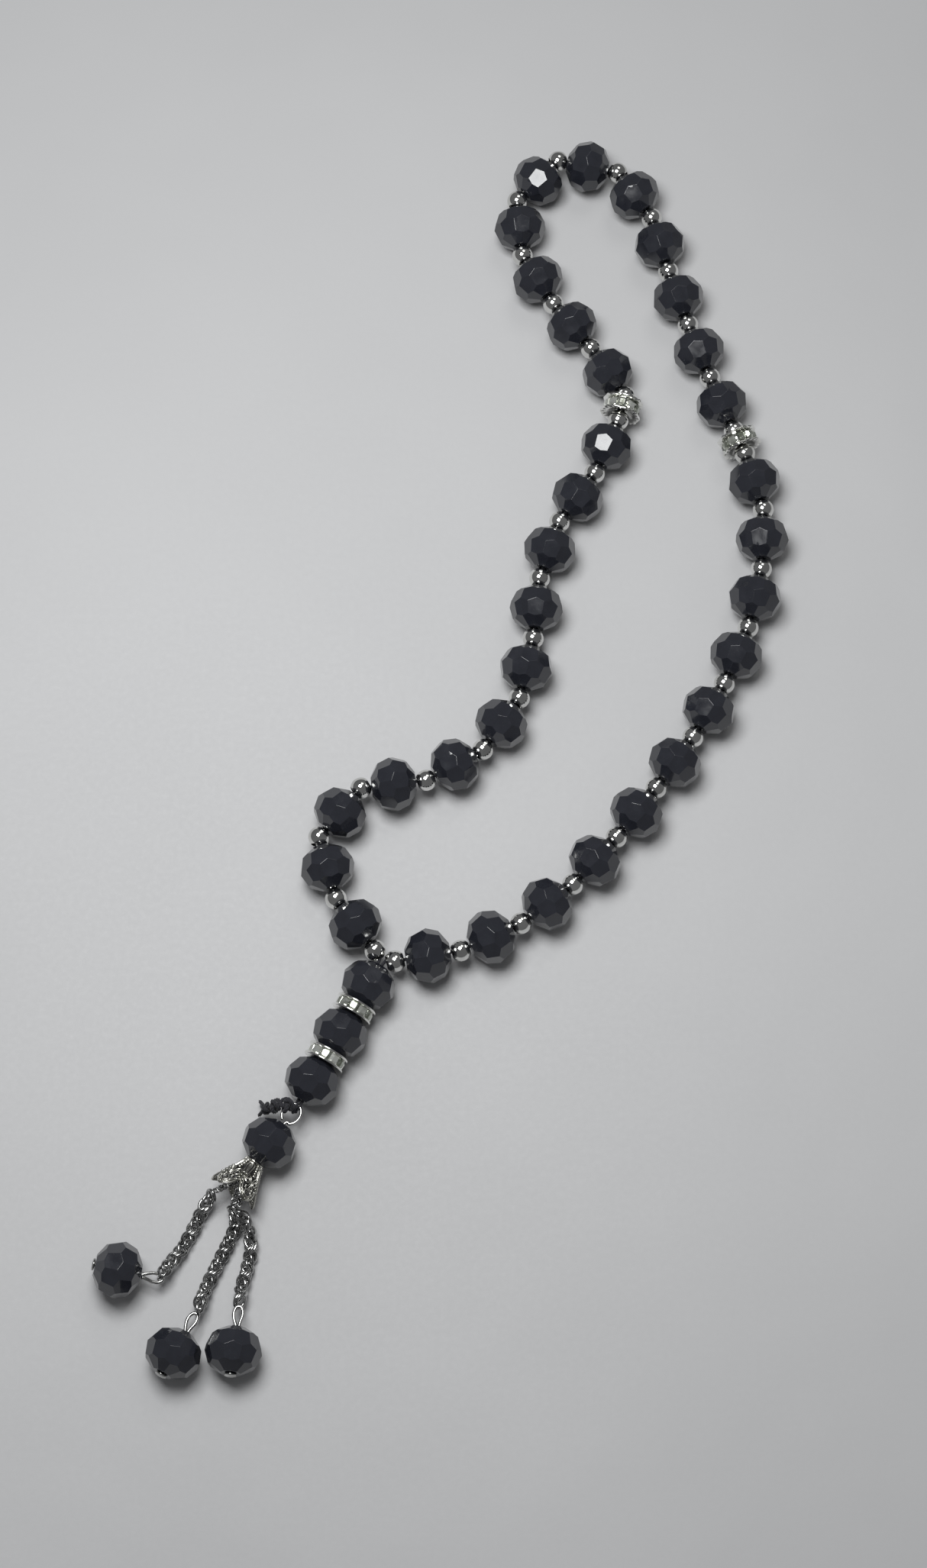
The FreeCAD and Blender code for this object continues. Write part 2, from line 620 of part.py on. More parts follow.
neck_top = f"-({pin_reach} - Sizes.pin_eye_radius)"
for number, (centre, direction) in enumerate(drop_places, start=1):
    pin = joined(f"pin_{number}", [
        primitive("Torus", f"pin_eye_{number}", {"Radius1": "Sizes.pin_eye_radius",
                                                 "Radius2": "Sizes.wire_size / 2"},
                  {"z": f"-{pin_reach}"}, EYE_FLAT),
        primitive("Cylinder", f"pin_wire_{number}",
                  {"Radius": "Sizes.wire_size / 2",
                   "Height": f"Sizes.bead_length / 2 + {2 * PLAY} - {neck_top}"}, {"z": neck_top}),
        primitive("Cylinder", f"pin_head_{number}", {"Radius": "Sizes.pin_head_size / 2",
                                                     "Height": "Sizes.pin_head_thickness"},
                  {"z": f"Sizes.bead_length / 2 + {PLAY}"})])
    pin.Placement = placed(centre, direction)
    labelled(pin, f"headpin_{number}")

CHAIN_BEND_ROOM = 2.0
NECK_START = 2.4                 # a chain's first link, out from the centre of the cap's eye
for number, points in enumerate(CHAIN_ROUTES, start=1):
    middle = [Vector(*point) for point in points]
    solid, length = tube(middle, size("chain_size"), CHAIN_BEND_ROOM)
    print(f"chain {number} is {length:.1f} mm long outside the cap")
    start = cap_eye_centre + (middle[0] - cap_eye_centre).normalize() * NECK_START
    reach = middle[0] - start
    neck = Part.makeCylinder(size("chain_neck_size") / 2, reach.Length, start, reach)
    labelled(shaped(f"chain_{number}", solid.fuse(neck)), f"chain_{number}")

# ---------------------------------------------------------------- check and write
doc.recompute()
for thing in doc.Objects:
    if {"Invalid", "Error"} & set(thing.State):
        raise RuntimeError(f"{thing.Label} failed: {thing.State}")

os.makedirs("parts", exist_ok=True)
outline = FreeCAD.BoundBox()
for piece in pieces:
    solids = piece.Shape.Solids
    if piece.Shape.isNull() or not piece.Shape.isValid() or not solids:
        raise RuntimeError(f"{piece.Label} has no valid solid")
    outline.add(piece.Shape.optimalBoundingBox(False))
    written = solids[0] if len(solids) == 1 else Part.makeCompound(solids)
    written.exportStep(f"parts/{piece.Label}.step")
print(f"{len(pieces)} sub-parts, outline {outline.XLength:.1f} x {outline.YLength:.1f} x "
      f"{outline.ZLength:.1f} mm, middle at {outline.Center.x:.2f}, {outline.Center.y:.2f}, "
      f"lowest {outline.ZMin:.3f}")
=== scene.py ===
import json
import math
import random

import bpy
import numpy as np
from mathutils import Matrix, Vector


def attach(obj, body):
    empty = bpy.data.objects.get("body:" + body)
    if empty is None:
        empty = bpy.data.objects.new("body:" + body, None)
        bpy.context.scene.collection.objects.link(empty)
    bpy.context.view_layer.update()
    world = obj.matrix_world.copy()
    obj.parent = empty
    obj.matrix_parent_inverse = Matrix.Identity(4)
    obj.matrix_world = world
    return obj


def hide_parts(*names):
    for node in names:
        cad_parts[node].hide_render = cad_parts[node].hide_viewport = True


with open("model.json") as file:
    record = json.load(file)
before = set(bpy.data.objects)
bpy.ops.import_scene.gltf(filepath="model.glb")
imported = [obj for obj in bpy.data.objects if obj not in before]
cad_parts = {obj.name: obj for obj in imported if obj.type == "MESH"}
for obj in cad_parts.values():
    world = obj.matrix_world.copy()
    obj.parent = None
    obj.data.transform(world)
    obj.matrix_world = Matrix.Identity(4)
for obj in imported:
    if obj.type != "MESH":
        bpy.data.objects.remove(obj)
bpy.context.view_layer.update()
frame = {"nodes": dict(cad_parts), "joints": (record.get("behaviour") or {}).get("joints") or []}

# Lengths below are in millimetres, in the frame of the CAD model, and MM turns them into metres.
MM = 0.001
joints = {joint["name"]: joint for joint in frame["joints"]}
random.seed(33)


def pivot(name):
    """Where a joint's axis passes, in millimetres."""
    return np.array(joints[name]["pos_m"]) / MM


def axis_of(name):
    """The direction of a joint's axis."""
    return np.array(joints[name]["axis"], float)


def unit(vector):
    """The same direction with a length of one."""
    vector = np.asarray(vector, float)
    return vector / np.linalg.norm(vector)


UP = np.array((0.0, 0.0, 1.0))
BEAD_LENGTH = 8.2                # along the hole
TASSEL_DIRECTION = axis_of("tassel_bead_spin")
HEAD_DIRECTION = axis_of("head_bead_1_spin")


# ---------------------------------------------------------------- materials
def new_material(name):
    """A new material, its node tree and its shader."""
    material = bpy.data.materials.new(name)
    material.use_nodes = True
    tree = material.node_tree
    shader = tree.nodes["Principled BSDF"]
    return material, tree, shader


def node(tree, kind, inputs=None, **settings):
    """A node with its settings; inputs are numbers, colours or other nodes' sockets."""
    made = tree.nodes.new(kind)
    for key, value in settings.items():
        setattr(made, key, value)
    for key, value in (inputs or {}).items():
        if isinstance(value, bpy.types.NodeSocket):
            tree.links.new(value, made.inputs[key])
        else:
            made.inputs[key].default_value = value
    return made


def noise_of(tree, scale, detail=4.0, roughness=0.55):
    """Noise over the piece's own coordinates; scale is in features per metre."""
    where = node(tree, "ShaderNodeTexCoord")
    return node(tree, "ShaderNodeTexNoise", {"Vector": where.outputs["Object"], "Scale": scale,
                                             "Detail": detail, "Roughness": roughness})


def spread(tree, socket, low, high, out_low, out_high):
    """A value from low..high moved onto out_low..out_high."""
    ranged = node(tree, "ShaderNodeMapRange", {"Value": socket, "From Min": low, "From Max": high,
                                               "To Min": out_low, "To Max": out_high})
    return ranged.outputs["Result"]


def two_colours(tree, socket, first, second):
    """A colour between two, by a value from 0 to 1."""
    ramp = node(tree, "ShaderNodeValToRGB", {"Fac": socket})
    ramp.color_ramp.elements[0].color = (*first, 1)
    ramp.color_ramp.elements[1].color = (*second, 1)
    return ramp.outputs["Color"]


def add_bump(tree, shader, height, strength, distance):
    """Small relief on the shader; distance is in metres."""
    bump = node(tree, "ShaderNodeBump", {"Height": height, "Strength": strength, "Distance": distance})
    tree.links.new(bump.outputs["Normal"], shader.inputs["Normal"])


def black_glass():
    """Polished black glass: faint waviness of the facets, fine dust and rubbed patches."""
    material, tree, shader = new_material("black_glass")
    shader.inputs["IOR"].default_value = 1.56
    shader.inputs["Coat Weight"].default_value = 0.35
    shader.inputs["Coat Roughness"].default_value = 0.02
    rubbed = noise_of(tree, 420.0, 5.0)
    dust = noise_of(tree, 5200.0, 2.0)
    tint = two_colours(tree, rubbed.outputs["Fac"], (0.014, 0.015, 0.020), (0.026, 0.028, 0.037))
    tree.links.new(tint, shader.inputs["Base Color"])
    haze = spread(tree, rubbed.outputs["Fac"], 0.35, 0.75, 0.08, 0.2)
    specks = spread(tree, dust.outputs["Fac"], 0.66, 0.74, 0.0, 0.2)
    total = node(tree, "ShaderNodeMath", {0: haze, 1: specks}, operation="ADD")
    tree.links.new(total.outputs["Value"], shader.inputs["Roughness"])
    wavy = noise_of(tree, 260.0, 1.0)
    add_bump(tree, shader, wavy.outputs["Fac"], 0.1, 0.0001)
    return material


def silver_plate(name, bright, dark, polish, grain):
    """Silver-plated metal: tarnish in patches, fine scratches, and a slightly uneven surface."""
    material, tree, shader = new_material(name)
    shader.inputs["Metallic"].default_value = 1.0
    tarnish = noise_of(tree, grain, 6.0, 0.6)
    fine = noise_of(tree, grain * 9, 3.0)
    patches = spread(tree, tarnish.outputs["Fac"], 0.35, 0.7, 0.0, 1.0)
    tree.links.new(two_colours(tree, patches, bright, dark), shader.inputs["Base Color"])
    tree.links.new(spread(tree, fine.outputs["Fac"], 0.3, 0.7, polish, polish * 2.2),
                   shader.inputs["Roughness"])
    add_bump(tree, shader, fine.outputs["Fac"], 0.12, 0.00004)
    return material


def rhinestone():
    """Foil-backed crystal: the stones' own faint green tint, and each stone's colour painted bright or
    dark as painted glints for how it catches the light.
    """
    material, tree, shader = new_material("rhinestone")
    shader.inputs["Metallic"].default_value = 0.75
    shader.inputs["Coat Weight"].default_value = 1.0
    shader.inputs["Coat Roughness"].default_value = 0.015
    island = node(tree, "ShaderNodeNewGeometry")
    fire = noise_of(tree, 1400.0, 1.0)
    # Painted glints: a random value per stone, times the noise, sets each stone's colour between
    # near-white (painted glint) and dark green (the stones' own tint).
    each = node(tree, "ShaderNodeMath", {0: island.outputs["Random Per Island"],
                                         1: fire.outputs["Fac"]}, operation="MULTIPLY")
    painted_glint = spread(tree, each.outputs["Value"], 0.05, 0.5, 0.0, 1.0)
    tree.links.new(two_colours(tree, painted_glint, (0.90, 0.92, 0.86), (0.20, 0.22, 0.17)),
                   shader.inputs["Base Color"])
    tree.links.new(spread(tree, fire.outputs["Fac"], 0.3, 0.7, 0.03, 0.1), shader.inputs["Roughness"])
    return material


def thread_black():
    """Waxed black thread: matt fibres with a little sheen."""
    material, tree, shader = new_material("black_thread")
    shader.inputs["Sheen Weight"].default_value = 0.25
    shader.inputs["Sheen Roughness"].default_value = 0.4
    fibres = noise_of(tree, 6000.0, 3.0)
    tree.links.new(two_colours(tree, fibres.outputs["Fac"], (0.006, 0.006, 0.009), (0.03, 0.03, 0.038)),
                   shader.inputs["Base Color"])
    tree.links.new(spread(tree, fibres.outputs["Fac"], 0.3, 0.7, 0.6, 0.9), shader.inputs["Roughness"])
    add_bump(tree, shader, fibres.outputs["Fac"], 0.6, 0.00006)
    return material


def paper():
    """A sheet of plain white paper: soft mottling and fine fibres."""
    material, tree, shader = new_material("paper")
    cloud = noise_of(tree, 14.0, 3.0)
    fibre = noise_of(tree, 900.0, 6.0, 0.7)
    tree.links.new(two_colours(tree, cloud.outputs["Fac"], (0.545, 0.545, 0.55), (0.60, 0.60, 0.605)),
                   shader.inputs["Base Color"])
    tree.links.new(spread(tree, fibre.outputs["Fac"], 0.3, 0.7, 0.55, 0.75), shader.inputs["Roughness"])
    waves = node(tree, "ShaderNodeMath", {0: cloud.outputs["Fac"], 1: 60.0}, operation="MULTIPLY")
    both = node(tree, "ShaderNodeMath", {0: fibre.outputs["Fac"], 1: waves.outputs["Value"]},
                operation="ADD")
    add_bump(tree, shader, both.outputs["Value"], 0.35, 0.00005)
    return material


# Each silver has its bright and its tarnished colour, its smoothest roughness, and patches per metre.
GLASS = black_glass()
BALL_SILVER = silver_plate("silver_ball", (0.80, 0.80, 0.78), (0.62, 0.62, 0.60), 0.03, 260.0)
SETTING_SILVER = silver_plate("silver_setting", (0.88, 0.88, 0.86), (0.70, 0.70, 0.66), 0.07, 420.0)
CAP_SILVER = silver_plate("silver_cap", (0.68, 0.67, 0.62), (0.22, 0.22, 0.19), 0.09, 620.0)
# Painted shade: the near-black sheet behind the cap's wires stands in for the shade inside the cap between
# the wires; its two dark colours are painted shade, not tarnish.
PAINTED_SHADE_SHEET = silver_plate("painted_shade_sheet", (0.10, 0.10, 0.10), (0.04, 0.04, 0.04), 0.28, 620.0)
CHAIN_SILVER = silver_plate("silver_chain", (0.62, 0.62, 0.61), (0.12, 0.12, 0.12), 0.07, 700.0)
WIRE_SILVER = silver_plate("silver_wire", (0.60, 0.60, 0.59), (0.26, 0.26, 0.25), 0.08, 520.0)
CRYSTAL = rhinestone()
THREAD = thread_black()


# ---------------------------------------------------------------- mesh helpers
def smooth_path(points, step, closed=False):
    """Points about `step` apart on a smooth curve through the given ones."""
    points = np.asarray(points, float)
    count = len(points)
    last = count if closed else count - 1
    made = []
    for index in range(last):
        if closed:
            four = [points[(index + offset) % count] for offset in (-1, 0, 1, 2)]
        else:
            four = [points[min(max(index + offset, 0), count - 1)] for offset in (-1, 0, 1, 2)]
        before, start, end, after = four
        steps = max(2, int(math.ceil(np.linalg.norm(end - start) / step)))
        for share in np.arange(steps) / steps:
            made.append(0.5 * (2 * start + (end - before) * share
                               + (2 * before - 5 * start + 4 * end - after) * share ** 2
                               + (3 * start - before - 3 * end + after) * share ** 3))
    if not closed:
        made.append(points[-1])
    return np.array(made)


def distance_along(path):
    """How far along a path each of its points lies."""
    return np.concatenate([[0], np.cumsum(np.linalg.norm(np.diff(path, axis=0), axis=1))])


def frames_along(points, closed=False):
    """Tangent, side and upright unit vectors at every point, turning as little as they can."""
    if closed:
        tangents = np.roll(points, -1, axis=0) - np.roll(points, 1, axis=0)
    else:
        tangents = np.gradient(points, axis=0)
    tangents /= np.linalg.norm(tangents, axis=1)[:, None]
    reference = UP if abs(tangents[0][2]) < 0.9 else np.array((1.0, 0.0, 0.0))
    side = unit(np.cross(tangents[0], reference))
    sides = []
    for tangent in tangents:
        side = unit(side - tangent * np.dot(side, tangent))
        sides.append(side)
    sides = np.array(sides)
    if closed:
        upright = np.cross(tangents[0], sides[0])
        back = unit(sides[-1] - tangents[0] * np.dot(sides[-1], tangents[0]))
        missed = math.atan2(np.dot(back, upright), np.dot(back, sides[0]))
        for index in range(len(points)):
            angle = -missed * index / len(points)
            turned = np.cross(tangents[index], sides[index])
            sides[index] = sides[index] * math.cos(angle) + turned * math.sin(angle)
    return tangents, sides, np.cross(tangents, sides)


def wire(points, radius, sides=8, closed=False):
    """Vertices and faces of a round wire; an open one has rounded ends."""
    points = np.asarray(points, float)
    radii = np.full(len(points), float(radius))
    if not closed:
        first = unit(points[0] - points[1])
        last = unit(points[-1] - points[-2])
        points = np.vstack([points[0] + first * radius * 0.5, points, points[-1] + last * radius * 0.5])
        radii = np.concatenate([[radius * 0.55], radii, [radius * 0.55]])
    _, across, upright = frames_along(points, closed)
    angles = np.arange(sides) * 2 * math.pi / sides
    ring = (across[:, None] * np.cos(angles)[None, :, None]
            + upright[:, None] * np.sin(angles)[None, :, None])
    rows = points[:, None] + ring * radii[:, None, None]
    return grid(rows) if closed else capped_grid(rows)


def grid(rows, closed=True):
    """Vertices and faces over rows of points: every row is a ring, and closed joins last to first."""
    rows = np.asarray(rows, float)
    height, width = rows.shape[:2]
    faces = []
    for row in range(height if closed else height - 1):
        below = (row + 1) % height
        for column in range(width):
            beside = (column + 1) % width
            faces.append((row * width + column, row * width + beside,
                          below * width + beside, below * width + column))
    return rows.reshape(-1, 3), faces


def capped_grid(rows):
    """A grid that is open from its first row to its last, with a flat face over each end."""
    vertices, faces = grid(rows, closed=False)
    width = len(rows[0])
    faces.append(tuple(range(width))[::-1])
    faces.append(tuple(range(len(vertices) - width, len(vertices))))
    return vertices, faces


def make_piece(name, parts, material, body, replaced, soft=True):
    """One object from lists of vertices and faces, riding on a body in place of CAD nodes."""
    vertices = []
    faces = []
    for part_vertices, part_faces in parts:
        offset = len(vertices)
        vertices.extend((np.asarray(part_vertices) * MM).tolist())
        faces.extend([tuple(offset + index for index in face) for face in part_faces])
    mesh = bpy.data.meshes.new(name)
    mesh.from_pydata(vertices, [], faces)
    mesh.polygons.foreach_set("use_smooth", [soft] * len(faces))
    mesh.materials.append(material)
    mesh.update()
    piece = bpy.data.objects.new(name, mesh)
    bpy.context.scene.collection.objects.link(piece)
    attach(piece, body)
    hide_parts(*replaced)
    return piece


def solids_of(name):
    """The centre and flat axis of every separate solid in a CAD node, in millimetres."""
    mesh = frame["nodes"][name].data
    places = np.array([vertex.co for vertex in mesh.vertices]) / MM
    label = {}
    keys = [tuple(np.round(place, 4)) for place in places]
    parent = list(range(len(keys)))

    def root(index):
        while parent[index] != index:
            parent[index] = parent[parent[index]]
            index = parent[index]
        return index

    for index, key in enumerate(keys):
        if key in label:
            parent[root(index)] = root(label[key])
        label[key] = index
    for edge in mesh.edges:
        first, second = edge.vertices
        parent[root(first)] = root(second)
    groups = {}
    for index in range(len(keys)):
        groups.setdefault(root(index), set()).add(keys[index])
    found = []
    for group in groups.values():
        cloud = np.array(sorted(group))
        centre = (cloud.max(0) + cloud.min(0)) / 2
        _, _, directions = np.linalg.svd(cloud - cloud.mean(0), full_matrices=False)
        found.append((centre, directions[2]))
    return sorted(found, key=lambda item: tuple(item[0]))


# ---------------------------------------------------------------- carried-over CAD nodes
# Material, slot, width of the eased edges, and the angle in degrees from which an edge is eased.
GLASS_FINISH = (GLASS, "black_glass", 0.045, 9)
BALL_FINISH = (BALL_SILVER, "silver_plate", 0.08, 40)


def finish_of(name):
    """How a kept CAD node is finished, or None where Blender pieces stand in for the node."""
    if name.startswith("spacer_balls"):
        return BALL_FINISH
    if name == "tassel_bead" or ("bead_" in name and name != "bead_cap"):
        return GLASS_FINISH
    return None


def finish_cad_nodes():
    """Glass on the beads and silver on the balls, with edges eased as polishing leaves them."""
    for name, thing in frame["nodes"].items():
        finish = finish_of(name)
        if finish is None:
            continue
        material, slot, width, from_angle = finish
        thing.data.materials.clear()
        thing.data.materials.append(material)
        weld = thing.modifiers.new("weld", "WELD")
        weld.merge_threshold = 0.001 * MM
        bevel = thing.modifiers.new("eased_edges", "BEVEL")
        bevel.width = width * MM
        bevel.segments = 2
        bevel.limit_method = "ANGLE"
        bevel.angle_limit = math.radians(from_angle)
        bevel.harden_normals = True


# ---------------------------------------------------------------- rondelles
RONDELLE_STEPS = 180
LOBES = 10                       # waves round the rim, with a stone between each two crests
RIM_RADIUS = 3.85
WAIST_RADIUS = 2.6
FLANGE = 0.4                     # thickness of each flange
STONE_SEAT = 2.65                # from the rondelle's axis to the foot of each stone
STONE_HEIGHT = 0.9
STONE_TILT = 0.08                # the most that a stone leans along the axis, as a slope


def rondelle(centre, direction, length, wave, lobe):
    """A channelled ring: dished ends, two rounded flanges that ripple, and a waist between them."""
    half = length / 2
    profile = [(0.9, half - 1.0), (1.4, half - 0.85), (2.1, half - 0.5), (2.45, half - 0.24),
               (2.7, half - 0.12), (3.2, half - 0.03), (RIM_RADIUS - 0.1, half), (RIM_RADIUS, half - 0.08),
               (RIM_RADIUS, half - FLANGE + 0.1), (RIM_RADIUS - 0.12, half - FLANGE),
               (3.0, half - FLANGE), (WAIST_RADIUS, half - FLANGE - 0.1)]
    profile = profile + [(radius, -height) for radius, height in profile[::-1]]
    first = unit(np.cross(direction, UP))
    second = np.cross(direction, first)
    rows = []
    for step in range(RONDELLE_STEPS):
        angle = 2 * math.pi * step / RONDELLE_STEPS
        ripple = math.cos(LOBES * angle)
        outward = first * math.cos(angle) + second * math.sin(angle)
        row = []
        for radius, height in profile:
            share = max(0.0, (radius - WAIST_RADIUS) / (RIM_RADIUS - WAIST_RADIUS))
            out = radius + lobe * ripple * share
            along = height + math.copysign(wave * ripple * share ** 2, height)
            row.append(centre + outward * out + direction * along)
        rows.append(row)
    return grid(rows)


def crystal(foot, outward, along, size):
    """A square-cut stone: girdle with cut corners, eight crown facets and a small table."""
    across = np.cross(outward, along)
    rings = []
    for share, height, corner in ((0.72, 0.0, 0.75), (1.0, 0.42, 0.72), (0.98, 0.5, 0.72),
                                  (0.55, 1.0, 0.8)):
        ring = []
        for quarter in range(4):
            turn = quarter * math.pi / 2
            for aside in (-corner, corner):
                side_x = math.cos(turn) - aside * math.sin(turn)
                side_y = math.sin(turn) + aside * math.cos(turn)
                ring.append(foot + across * side_x * size / 2 * share
                            + along * side_y * size / 2 * share + outward * STONE_HEIGHT * height)
        rings.append(ring)
    return capped_grid(rings)


def crystals_round(centre, direction, size):
    """A rondelle's stones, each leaning a little its own way."""
    first = unit(np.cross(direction, UP))
    second = np.cross(direction, first)
    made = []
    for number in range(LOBES):
        angle = 2 * math.pi * (number + 0.5) / LOBES
        outward = first * math.cos(angle) + second * math.sin(angle)
        tilt = unit(outward + direction * random.uniform(-STONE_TILT, STONE_TILT))
        along = unit(np.cross(np.cross(tilt, direction), tilt))
        made.append(crystal(centre + outward * STONE_SEAT, tilt, along, size))
    return made


def make_rondelles():
    """The two scalloped dividers in the loop and the two plain rings between the head beads."""
    for nodes, stones, body, length, wave, lobe, stone_size in (
            ("divider_frames", "divider_stones", "strand_top", 3.0, 0.15, 0.08, 1.65),
            ("head_ring_frames", "head_ring_stones", "strand_root", 2.4, 0.0, 0.0, 1.9)):
        settings = []
        gems = []
        for centre, direction in solids_of(nodes):
            settings.append(rondelle(centre, direction, length, wave, lobe))
            gems += crystals_round(centre, direction, stone_size)
        make_piece(nodes.replace("frames", "settings"), settings, SETTING_SILVER, body,
                   [nodes])
        make_piece(nodes.replace("frames", "crystals"), gems, CRYSTAL, body, [stones],
                   soft=False)


# ---------------------------------------------------------------- thread
THREAD_RADIUS = 0.35
PLIES = 3
PLY_PITCH = 1.5                  # length of thread in which each ply goes once round
PLY_OFFSET = 0.46                # from the thread's axis to a ply's, as a share of the thread's radius
PLY_RADIUS = 0.54                # a ply's own radius, as the same share
KNOTS = [                        # centre, size and turn of each lump, from the head to the thread's ends
    ((-29.6, -72.4, 6.4), 1.22, 0.5),
    ((-31.7, -72.3, 5.3), 1.15, 1.4),
    ((-33.5, -72.5, 3.9), 0.85, 2.2),
]
LUMP_STEPS = 36
KNOT_THREAD = 0.4
KNOT_STEP = 0.12
FRAYED_ENDS = [(-34.8, -73.3, 1.6), (-34.7, -70.9, 1.5)]
FIBRES = 14
FIBRE_RADIUS = 0.045
LOWEST_FIBRE = 0.3
SPREAD = 0.37                    # how far each of the two threads in the head lies from its middle
CORD_LOOP_RADIUS = 0.85


def plied(points, step=0.16, radius=THREAD_RADIUS):
    """Three plies twisted together along a path."""
    path = smooth_path(points, step)
    _, across, upright = frames_along(path)
    travelled = distance_along(path)
    made = []
    for ply in range(PLIES):
        angle = 2 * math.pi * (travelled / PLY_PITCH + ply / PLIES)
        offset = across * np.cos(angle)[:, None] + upright * np.sin(angle)[:, None]
        made.append(wire(path + offset * radius * PLY_OFFSET, radius * PLY_RADIUS, 6))
    return made


def hole_ends(name):
    """The two ends of a bead's hole."""
    reach = axis_of(f"{name}_spin") * BEAD_LENGTH / 2
    return [pivot(f"{name}_spin") - reach, pivot(f"{name}_spin") + reach]


def through_beads(first, last):
    """Thread points through a run of counting beads."""
    points = []
    for number in range(first, last + 1):
        points += hole_ends(f"counting_bead_{number:02}")
    return points


def lump(centre, size, turn):
    """The path of one knot: a trefoil, which winds twice round and crosses itself three times."""
    points = []
    for step in range(LUMP_STEPS):
        angle = 2 * math.pi * step / LUMP_STEPS
        ring = 2.0 + math.cos(3 * angle)
        place = np.array((ring * math.cos(2 * angle), ring * math.sin(2 * angle),
                          1.6 * math.sin(3 * angle)))
        x, y, z = place * size / 3
        turned = np.array((x * math.cos(turn) - z * math.sin(turn), y,
                           x * math.sin(turn) + z * math.cos(turn)))
        points.append(centre + turned)
    return points


def knots():
    """The wound lumps, each with a core that closes the gaps between its windings."""
    made = []
    for centre, size, turn in KNOTS:
        centre = np.array(centre)
        winding = lump(centre, size, turn)
        made += plied(winding + winding[:1], KNOT_STEP, KNOT_THREAD)
        made.append(grain(centre, size * 0.6))
    return made


def frayed_end(start, end):
    """A short end of thread from the last knot, with its fibres coming apart at the tip."""
    made = plied([start, (start + end) / 2 + UP * 0.3, end], KNOT_STEP)
    for _ in range(FIBRES):
        stray = np.array([random.uniform(-0.5, 0.5) for _ in range(3)])
        tip = end + unit(end - start + UP * 0.4) * random.uniform(0.1, 0.4) + stray * 0.4
        tip[2] = max(tip[2], LOWEST_FIBRE)
        fibre = smooth_path([start + (end - start) * 0.8, end + stray * 0.25, tip], 0.2)
        made.append(wire(fibre, FIBRE_RADIUS, 4))
    return made


def make_threads():
    """The thread of the loop's three movable sides, and the one through the head with its knot."""
    left_bottom, left_top = pivot("left_side_sway"), pivot("top_loop_sway")
    right_bottom = pivot("right_side_sway")
    right_top = left_top + right_bottom - left_bottom
    for side, points in (
            ("left", [left_bottom, *through_beads(6, 10), left_top]),
            ("top", [left_top, *through_beads(11, 23), right_top]),
            ("right", [right_top, *through_beads(24, 28), right_bottom])):
        make_piece(f"thread_{side}", plied(points), THREAD, f"strand_{side}",
                   [f"cord_{side}"])

    sideways = unit(np.cross(HEAD_DIRECTION, UP))
    head_top, head_end = hole_ends("head_bead_1")[0], hole_ends("head_bead_3")[1]
    eye_hold = pivot("tassel_swing")
    onward = unit(HEAD_DIRECTION + TASSEL_DIRECTION)
    loop = []
    for angle in np.radians((150, 90, 40, -10, -60, -110, -150)):
        loop.append(eye_hold + onward * math.cos(angle) * CORD_LOOP_RADIUS
                    + UP * math.sin(angle) * CORD_LOOP_RADIUS)
    left = [left_bottom, *through_beads(1, 5)[::-1], head_top + sideways * SPREAD,
            head_end + sideways * SPREAD, *loop[:3]]
    right = [right_bottom, *through_beads(29, 33), head_top - sideways * SPREAD,
             head_end - sideways * SPREAD, *loop[::-1][:5]]
    parts = plied(left) + plied(right) + knots()
    knot_centres = [np.array(centre) for centre, _, _ in KNOTS]
    parts += plied([loop[1], *knot_centres], KNOT_STEP)
    for end in FRAYED_ENDS:
        parts += frayed_end(knot_centres[-1], np.array(end))
    make_piece("thread_head", parts, THREAD, "strand_root", ["cord_head"])


# ---------------------------------------------------------------- eyepin
WIRE_RADIUS = 0.35
EYE_RADIUS = 1.6
EYE_LONGER = 0.35                # the upper eye is pulled oval by this much each way
EYE_GAP = 26                     # degrees from the stem at which the upper eye's wire starts
EYE_END = 330                    # and the angle at which an eye's wire turns into the stem
CAP_EYE_RADIUS = 1.2
CAP_EYE_GAP = 34
CAP_EYE = pivot("chain_1_swing")
UPPER_NECK = 0.75                # length of the bend between the upper eye and the straight stem
LOWER_NECK = 0.5


def eye(centre, along, across, radius, opening, longer=0.0):
    """A wire eye, from just beside its neck round to the neck; along points to the stem."""
    points = []
    for angle in np.linspace(opening, EYE_END, 16):
        turn = math.radians(angle)
        reach = (radius + longer) * math.cos(turn) - longer
        points.append(centre + along * reach + across * radius * math.sin(turn))
    return points


def make_eyepin():
    """One wire through the tassel bead: the ring that the thread holds, a stem, and an eye in the cap."""
    across = np.cross(TASSEL_DIRECTION, UP)
    upper = pivot("tassel_swing") + TASSEL_DIRECTION * EYE_RADIUS
    top = eye(upper, TASSEL_DIRECTION, across, EYE_RADIUS, EYE_GAP, EYE_LONGER)
    stem = [upper + TASSEL_DIRECTION * (EYE_RADIUS + UPPER_NECK),
            CAP_EYE - TASSEL_DIRECTION * (CAP_EYE_RADIUS + LOWER_NECK)]
    bottom = eye(CAP_EYE, -TASSEL_DIRECTION, across, CAP_EYE_RADIUS, CAP_EYE_GAP)[::-1]
    path = smooth_path([*top, *stem, *bottom], 0.16)
    make_piece("eyepin_wire", [wire(path, WIRE_RADIUS * 0.75, 12)], WIRE_SILVER, "tassel_hanger",
               ["eyepin"])


